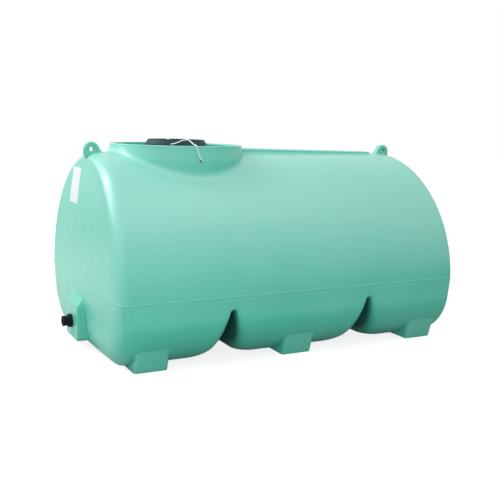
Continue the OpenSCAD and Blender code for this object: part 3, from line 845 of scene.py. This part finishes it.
EYELET_AT = (-0.638, -0.5025, 1.371)
EYELET_R = 0.010         # its outside
EYELET_IN = 0.0043       # its bore
EYELET_HALF = 0.008      # half its length
EYELET_LIP = 0.002       # radius of its edges
EYELET_N = 40
CORD_R = 0.004
CORD_POINTS = (
    (-0.746, -0.207, 1.476), (-0.731, -0.216, 1.479), (-0.714, -0.222, 1.484),
    (-0.697, -0.225, 1.491), (-0.680, -0.227, 1.499), (-0.663, -0.229, 1.505),
    (-0.648, -0.232, 1.509), (-0.636, -0.239, 1.510), (-0.629, -0.253, 1.507),
    (-0.627, -0.272, 1.501), (-0.630, -0.300, 1.494), (-0.635, -0.335, 1.488),
    (-0.643, -0.370, 1.484), (-0.652, -0.405, 1.481), (-0.661, -0.440, 1.479),
    (-0.668, -0.468, 1.479), (-0.672, -0.484, 1.479), (-0.673, -0.495, 1.475),
    (-0.671, -0.500, 1.466), (-0.668, -0.503, 1.452), (-0.664, -0.507, 1.434),
    (-0.658, -0.513, 1.412), (-0.651, -0.521, 1.392), (-0.645, -0.526, 1.382),
    (-0.640, -0.525, 1.375), (-0.638, -0.519, 1.372), (-0.638, -0.512, 1.371),
    (-0.638, -0.498, 1.371), (-0.638, -0.484, 1.371))


def eyelet():
    """Grommet through the turret's wall, its axis along Y."""
    lip = EYELET_LIP
    x, y, z = EYELET_AT
    corners = ((EYELET_R - lip, EYELET_HALF - lip, 0), (EYELET_R - lip, lip - EYELET_HALF, 270),
               (EYELET_IN + lip, lip - EYELET_HALF, 180), (EYELET_IN + lip, EYELET_HALF - lip, 90))
    profile = [p for r, d, start in corners for p in reversed(quarter(r, d, lip, start, 3))]
    return hoop("tether_grommet", [[(x + r * math.cos(a), y + d, z + r * math.sin(a))
                                    for r, d in profile] for a in turns(EYELET_N)])


def tether():
    """Cord along its route, round in section."""
    curve = bpy.data.curves.new("tether_cord_braided", "CURVE")
    curve.dimensions = "3D"
    spline = curve.splines.new("BEZIER")
    spline.bezier_points.add(len(CORD_POINTS) - 1)
    for point, place in zip(spline.bezier_points, CORD_POINTS):
        point.co = place
        point.handle_left_type = point.handle_right_type = "AUTO"
    spline.resolution_u = 5
    curve.bevel_depth = CORD_R
    curve.bevel_resolution = 4
    curve.use_fill_caps = True
    return new_object("tether_cord_braided", curve)


# ---- Bare label ----

LABEL_Y = (0.09, 0.31)
LABEL_Z = (1.03, 1.29)
LABEL_OUT = 0.0008       # how far it stands out from the face
LABEL_IN = 0.0005        # how far its edge runs on inside the face
LABEL_ROWS = 14
LABEL_COLUMNS = 10


def border(rows):
    """Points round the edge of a grid of rows."""
    return (rows[0] + [row[-1] for row in rows[1:]] + rows[-1][-2::-1]
            + [row[0] for row in rows[-2:0:-1]])


def label():
    """Thin blank plate that follows the left end's face."""
    out = Vector((LABEL_OUT, 0, 0))
    rows = []
    for t in steps(LABEL_ROWS):
        row = []
        for s in steps(LABEL_COLUMNS):
            y, z = mix(*LABEL_Y, s), mix(*LABEL_Z, t)
            row.append(hit(Vector((-2, y, z)), Vector((1, 0, 0))) - out)
        rows.append(row)
    sunk = [p + Vector((LABEL_OUT + LABEL_IN, 0, 0)) for p in border(rows)]
    skin = Skin()
    skin.grid(rows)
    skin.grid([border(rows), sunk], around=True)
    return skin.piece("bare_label")


# ---- Materials ----

SHEEN_WAY = (-0.16, -0.03, 0.90)    # where the side with painted sheen faces: lighter towards up and left
PATCHY = 0.16                 # how unevenly the painted sheen lies

# Colours, linear
GREENS = ((0.060, 0.505, 0.375), (0.078, 0.545, 0.410))
DEEP_GREEN = (0.052, 0.475, 0.345)
# pale green: painted sheen on faces turned up and left, and even dust on sheltered pieces
DUST_AND_SHEEN_GREEN = (0.245, 0.645, 0.535)
MARK = (0.32, 0.68, 0.59)
SCUFF = (0.22, 0.62, 0.50)
# painted shade deep inside the slots
SLOT_SHADE = (0.008, 0.045, 0.035)
SLATES = ((0.023, 0.049, 0.056), (0.033, 0.067, 0.077))
BLACKS = ((0.005, 0.008, 0.009), (0.010, 0.014, 0.015))
RUBBERS = ((0.018, 0.020, 0.020), (0.034, 0.036, 0.036))
STRANDS = ((0.72, 0.80, 0.77), (0.88, 0.92, 0.90))
FILMS = ((0.74, 0.77, 0.82), (0.66, 0.71, 0.75))


class Finish:
    """A material's node tree, with short ways to add nodes to it."""

    def __init__(self, name):
        self.material = bpy.data.materials.new(name)
        self.material.use_nodes = True
        self.tree = self.material.node_tree
        self.shader = self.tree.nodes["Principled BSDF"]
        self.place = self.node("TexCoord").outputs["Object"]

    def link(self, a, b):
        self.tree.links.new(a, b)

    def fill(self, node, values):
        """Puts numbers and outputs on a node's sockets, named with _ for each blank."""
        for key, value in values.items():
            socket = node.inputs[key.replace("_", " ")]
            if isinstance(value, (int, float)):
                socket.default_value = value
            else:
                self.link(value, socket)
        return node

    def node(self, kind, **values):
        """New node of that kind, filled."""
        return self.fill(self.tree.nodes.new("ShaderNode" + kind), values)

    def set(self, **values):
        """Fills the shader, and returns the material."""
        self.fill(self.shader, values)
        return self.material

    def noise(self, scale, detail=2.0, rough=0.5, distortion=0.0):
        """Noise over the object, about 0.5 on average."""
        return self.node("TexNoise", Vector=self.place, Scale=scale, Detail=detail,
                         Roughness=rough, Distortion=distortion).outputs["Fac"]

    def calc(self, operation, *values):
        """Arithmetic on numbers and outputs."""
        node = self.node("Math")
        node.operation = operation
        for socket, value in zip(node.inputs, values):
            if isinstance(value, float):
                socket.default_value = value
            else:
                self.link(value, socket)
        return node.outputs[0]

    def in_slots(self):
        """0 on the outer skin, 1 well inside the two slots, where shade is painted."""
        x, y, z = self.node("SeparateXYZ", Vector=self.place).outputs
        calc = self.calc
        aside = calc("ABSOLUTE", calc("SUBTRACT", calc("ABSOLUTE", x), SLOT_X))
        across = calc("MAXIMUM", calc("SUBTRACT", calc("ABSOLUTE", y), BELLY_FLAT), 0.0)
        down = calc("MAXIMUM", calc("SUBTRACT", BELLY + BELLY_R, z), 0.0)
        from_corner = calc("SQRT", calc("ADD", calc("MULTIPLY", across, across),
                                        calc("MULTIPLY", down, down)))
        deep = self.spread(from_corner, BELLY_R - 0.01, BELLY_R - 0.08)
        near = calc("MULTIPLY", self.spread(aside, 0.24, 0.16), self.spread(z, 0.42, 0.385))
        return calc("MULTIPLY", deep, near)

    def painted_sheen(self, low, high):
        """Share of painted sheen: 0 where the surface turns from the lit way, 1 where it faces it,
        patchy between.
        """
        toward = self.node("VectorMath")
        toward.operation = "DOT_PRODUCT"
        self.link(self.node("NewGeometry").outputs["Normal"], toward.inputs[0])
        toward.inputs[1].default_value = SHEEN_WAY
        patchy = self.calc("MULTIPLY_ADD", self.noise(3.0, 3.0, 0.6), PATCHY,
                           toward.outputs["Value"])
        return self.spread(patchy, low + PATCHY / 2, high + PATCHY / 2)

    def spread(self, value, low, high, new_low=0.0, new_high=1.0):
        """Maps low and high onto the new range, and keeps to it."""
        return self.node("MapRange", Value=value, From_Min=low, From_Max=high, To_Min=new_low,
                         To_Max=new_high).outputs["Result"]

    def blend(self, share, a, b):
        """Mix of two colours or colour outputs."""
        node = self.node("Mix")
        node.data_type = "RGBA"
        self.link(share, node.inputs["Factor"])
        for socket, colour in ((node.inputs["A"], a), (node.inputs["B"], b)):
            if isinstance(colour, tuple):
                socket.default_value = (*colour, 1)
            else:
                self.link(colour, socket)
        return node.outputs["Result"]

    def bump(self, height, strength, distance, **below):
        """Relief up to distance in metres. It can stand on another's Normal."""
        return self.node("Bump", Height=height, Strength=strength, Distance=distance,
                         **below).outputs["Normal"]


def polyethylene(name, sheltered=False):
    """Green polyethylene with painted sheen where it faces up and to the left and painted shade
    deep in its slots, or evenly dusty where it is sheltered.
    """
    f = Finish(name)
    broad = f.spread(f.noise(1.4, 3.0, 0.55), 0.35, 0.65)
    fine = f.spread(f.noise(11.0, 4.0, 0.6), 0.3, 0.7)
    marks = f.spread(f.noise(34.0, 2.0, 0.5), 0.73, 0.78, 0.0, 0.35)
    scuffs = f.spread(f.noise(5.0, 6.0, 0.75, 0.6), 0.64, 0.74, 0.0, 0.25)
    # pale: even dust on sheltered pieces, else painted sheen, lighter where the surface faces up
    # and to the left
    pale = f.spread(broad, 0, 1, 0.18, 0.34) if sheltered else f.painted_sheen(-0.08, 0.50)
    colour = f.blend(broad, *GREENS)
    colour = f.blend(f.spread(fine, 0, 1, 0.0, 0.35), colour, DEEP_GREEN)
    colour = f.blend(pale, colour, DUST_AND_SHEEN_GREEN)
    colour = f.blend(marks, colour, MARK)
    colour = f.blend(scuffs, colour, SCUFF)
    if not sheltered:
        # Painted shade, darker well inside the two slots.
        colour = f.blend(f.spread(f.in_slots(), 0, 1, 0.0, 0.8), colour, SLOT_SHADE)
    waves = f.bump(f.noise(5.5, 1.0, 0.4), 0.5, 0.006)
    peel = f.bump(f.noise(230.0, 2.0, 0.5), 0.35, 0.0006, Normal=waves)
    return f.set(Base_Color=colour, Roughness=f.spread(fine, 0, 1, 0.31, 0.38), Normal=peel,
                 Specular_IOR_Level=0.6)


def plain_plastic(name, shades, rough, gloss):
    """Dark plastic or rubber between two shades, and between two values of roughness."""
    f = Finish(name)
    spots = f.spread(f.noise(40.0, 4.0, 0.6), 0.3, 0.7)
    return f.set(Base_Color=f.blend(spots, *shades), Roughness=f.spread(spots, 0, 1, *rough),
                 Normal=f.bump(f.noise(420.0, 2.0), 0.3, 0.0004), Specular_IOR_Level=gloss)


def braid():
    """White cord with slanting strands."""
    f = Finish("white_braid")
    wave = f.node("TexWave", Vector=f.place, Scale=140.0, Distortion=2.0)
    wave.bands_direction = "DIAGONAL"
    strands = wave.outputs["Fac"]
    return f.set(Base_Color=f.blend(strands, *STRANDS), Roughness=0.8,
                 Normal=f.bump(strands, 0.5, 0.0006))


def label_film():
    """Blank white film, a little dusty."""
    f = Finish("label_film")
    dust = f.spread(f.noise(24.0, 5.0, 0.65), 0.35, 0.75)
    return f.set(Base_Color=f.blend(dust, *FILMS), Roughness=0.45,
                 Normal=f.bump(f.noise(60.0, 2.0), 0.2, 0.0003))


# ---- Assembly ----

GREEN = polyethylene("tank_polyethylene")
SHELTERED = polyethylene("sheltered_polyethylene", True)
SLATE = plain_plastic("lid_slate", SLATES, (0.42, 0.55), 0.12)
BLACK = plain_plastic("fitting_black", BLACKS, (0.5, 0.65), 0.12)
RUBBER = plain_plastic("gasket_rubber", RUBBERS, (0.6, 0.75), 0.3)
BRAID = braid()
FILM = label_film()


def finish_piece(piece, material, slot, *nodes):
    """Gives a piece its material and body, and hides the nodes whose solids it replaces. slot is
    not used.
    """
    piece.data.materials.append(material)
    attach(piece, "root")
    if nodes:
        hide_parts(*nodes)
    return piece


PE = "body_polyethylene"
cord = finish_piece(tether(), BRAID, "cord", "tether_cord")
finish_piece(BODY.piece("tank_body"), GREEN, PE, "upper_shell", "left_end", "right_end",
             "left_bay", "middle_bay", "right_bay")
finish_piece(seam_line("seam_ridge", SEAM, 0, *SEAM_RIDGE), GREEN, PE, "mould_seam")
finish_piece(seam_line("seam_step", SECOND_LINE, -1, *SEAM_STEP), GREEN, PE)
finish_piece(crown_rib(), GREEN, PE, "crown_rib")
finish_piece(turret(), GREEN, PE, "turret_wall", "turret_rim", "basin_floor", "manway_collar")
for side, end in ((-1, "front"), (1, "rear")):
    for place, x in (("left", -FOOT_PITCH), ("middle", 0.0), ("right", FOOT_PITCH)):
        finish_piece(foot(f"{place}_{end}_foot_moulding", x, side), SHELTERED, PE,
                     f"{place}_{end}_foot")
for side, end in ((-1, "left"), (1, "right")):
    finish_piece(lug(f"{end}_lug_moulding", side), GREEN, PE, f"{end}_lifting_lug")
finish_piece(outlet_boss(), SHELTERED, PE, "outlet_boss")
finish_piece(lid(), SLATE, "lid_polypropylene", "manway_lid")
finish_piece(lid_grips(), SLATE, "lid_polypropylene", "lid_grips")
finish_piece(lid_eye(), SLATE, "lid_polypropylene", "lid_eye")
finish_piece(eyelet(), RUBBER, "rubber", "tether_eyelet")
finish_piece(outlet_fitting(), BLACK, "fitting_polypropylene", "outlet_fitting")
finish_piece(label(), FILM, PE)
for node, material in (("lid_gasket", RUBBER), ("outlet_gasket", RUBBER),
                       ("outlet_back_nut", BLACK)):
    for material_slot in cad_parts[node].material_slots:
        material_slot.material = material

# ---- Floor, world and light ----

FLOOR_SIZE = 60
FLOOR_DIM = 0.27        # grey of the floor as it lights the tank
FLOOR_PALE = 0.85       # in reflections
FLOOR_SEEN = 0.36       # to the camera, where it keeps the shadow
FLOOR_GLOW = 0.82       # and what it glows there
SKY_LOW = 0.50
SKY_HIGH = 0.75
SHINE = ("Is Glossy Ray", "Is Transmission Ray")

bpy.context.scene.view_settings.view_transform = "Standard"


def ray_share(tree, names):
    """1 for rays of the named kinds."""
    path = tree.nodes.new("ShaderNodeLightPath")
    total = path.outputs[names[0]]
    for name in names[1:]:
        node = tree.nodes.new("ShaderNodeMath")
        node.operation = "ADD"
        node.use_clamp = True
        tree.links.new(total, node.inputs[0])
        tree.links.new(path.outputs[name], node.inputs[1])
        total = node.outputs[0]
    return total


def add_floor():
    """Floor that looks white to the camera and in reflections but lights the tank less."""
    bpy.ops.mesh.primitive_plane_add(size=FLOOR_SIZE, location=(0, 0, 0))
    floor = bpy.context.object
    floor.name = "floor"
    material = bpy.data.materials.new("pale_floor")
    material.use_nodes = True
    tree = material.node_tree
    tree.nodes.remove(tree.nodes["Principled BSDF"])
    dim, pale, seen = (tree.nodes.new("ShaderNodeBsdfDiffuse") for _ in range(3))
    for node, grey in ((dim, FLOOR_DIM), (pale, FLOOR_PALE), (seen, FLOOR_SEEN)):
        node.inputs["Color"].default_value = (grey, grey, grey, 1)
    glow = tree.nodes.new("ShaderNodeEmission")
    glow.inputs["Strength"].default_value = FLOOR_GLOW
    add = tree.nodes.new("ShaderNodeAddShader")
    in_gloss, in_view = (tree.nodes.new("ShaderNodeMixShader") for _ in range(2))
    for a, b in ((seen.outputs[0], add.inputs[0]), (glow.outputs[0], add.inputs[1]),
                 (ray_share(tree, SHINE), in_gloss.inputs[0]),
                 (dim.outputs[0], in_gloss.inputs[1]),
                 (pale.outputs[0], in_gloss.inputs[2]),
                 (ray_share(tree, ("Is Camera Ray",)), in_view.inputs[0]),
                 (in_gloss.outputs[0], in_view.inputs[1]), (add.outputs[0], in_view.inputs[2]),
                 (in_view.outputs[0], tree.nodes["Material Output"].inputs["Surface"])):
        tree.links.new(a, b)
    floor.data.materials.append(material)


def add_world():
    """Soft grey sky, white to the camera and in reflections."""
    world = bpy.data.worlds.new("studio")
    bpy.context.scene.world = world
    world.use_nodes = True
    tree = world.node_tree
    sky = tree.nodes["Background"]
    ways = tree.nodes.new("ShaderNodeTexCoord")
    parts = tree.nodes.new("ShaderNodeSeparateXYZ")
    ramp = tree.nodes.new("ShaderNodeValToRGB")
    for element, place, grey in zip(ramp.color_ramp.elements, (0.0, 1.0), (SKY_LOW, SKY_HIGH)):
        element.position = place
        element.color = (grey, grey, grey, 1)
    white = tree.nodes.new("ShaderNodeBackground")
    choose = tree.nodes.new("ShaderNodeMixShader")
    for a, b in ((ways.outputs["Generated"], parts.inputs[0]),
                 (parts.outputs["Z"], ramp.inputs[0]),
                 (ramp.outputs["Color"], sky.inputs["Color"]),
                 (ray_share(tree, ("Is Camera Ray", *SHINE)), choose.inputs[0]),
                 (sky.outputs[0], choose.inputs[1]), (white.outputs[0], choose.inputs[2]),
                 (choose.outputs[0], tree.nodes["World Output"].inputs["Surface"])):
        tree.links.new(a, b)
    white.inputs["Color"].default_value = (1, 1, 1, 1)


def add_lamp(name, place, aim, size, power, reflected=True):
    """Rectangular lamp, in watts. One that isn't reflected leaves no highlight."""
    data = bpy.data.lights.new(name, "AREA")
    data.shape = "RECTANGLE"
    data.size, data.size_y = size
    data.energy = power
    lamp = new_object(name, data)
    lamp.visible_glossy = reflected
    lamp.location = place
    lamp.rotation_euler = (Vector(aim) - Vector(place)).to_track_quat("-Z", "Y").to_euler()


add_floor()
add_world()
add_lamp("left_softbox", (-5.0, 3.0, 4.6), (-1.3, -0.3, 0.9), (1.3, 5.0), 320)
add_lamp("front_softbox", (-3.3, -6.2, 1.0), (-0.3, 0, 0.6), (4.0, 2.5), 158, reflected=False)
add_lamp("top_softbox", (0.5, -2.0, 5.5), (0, 0, 0.8), (5.0, 3.0), 45)
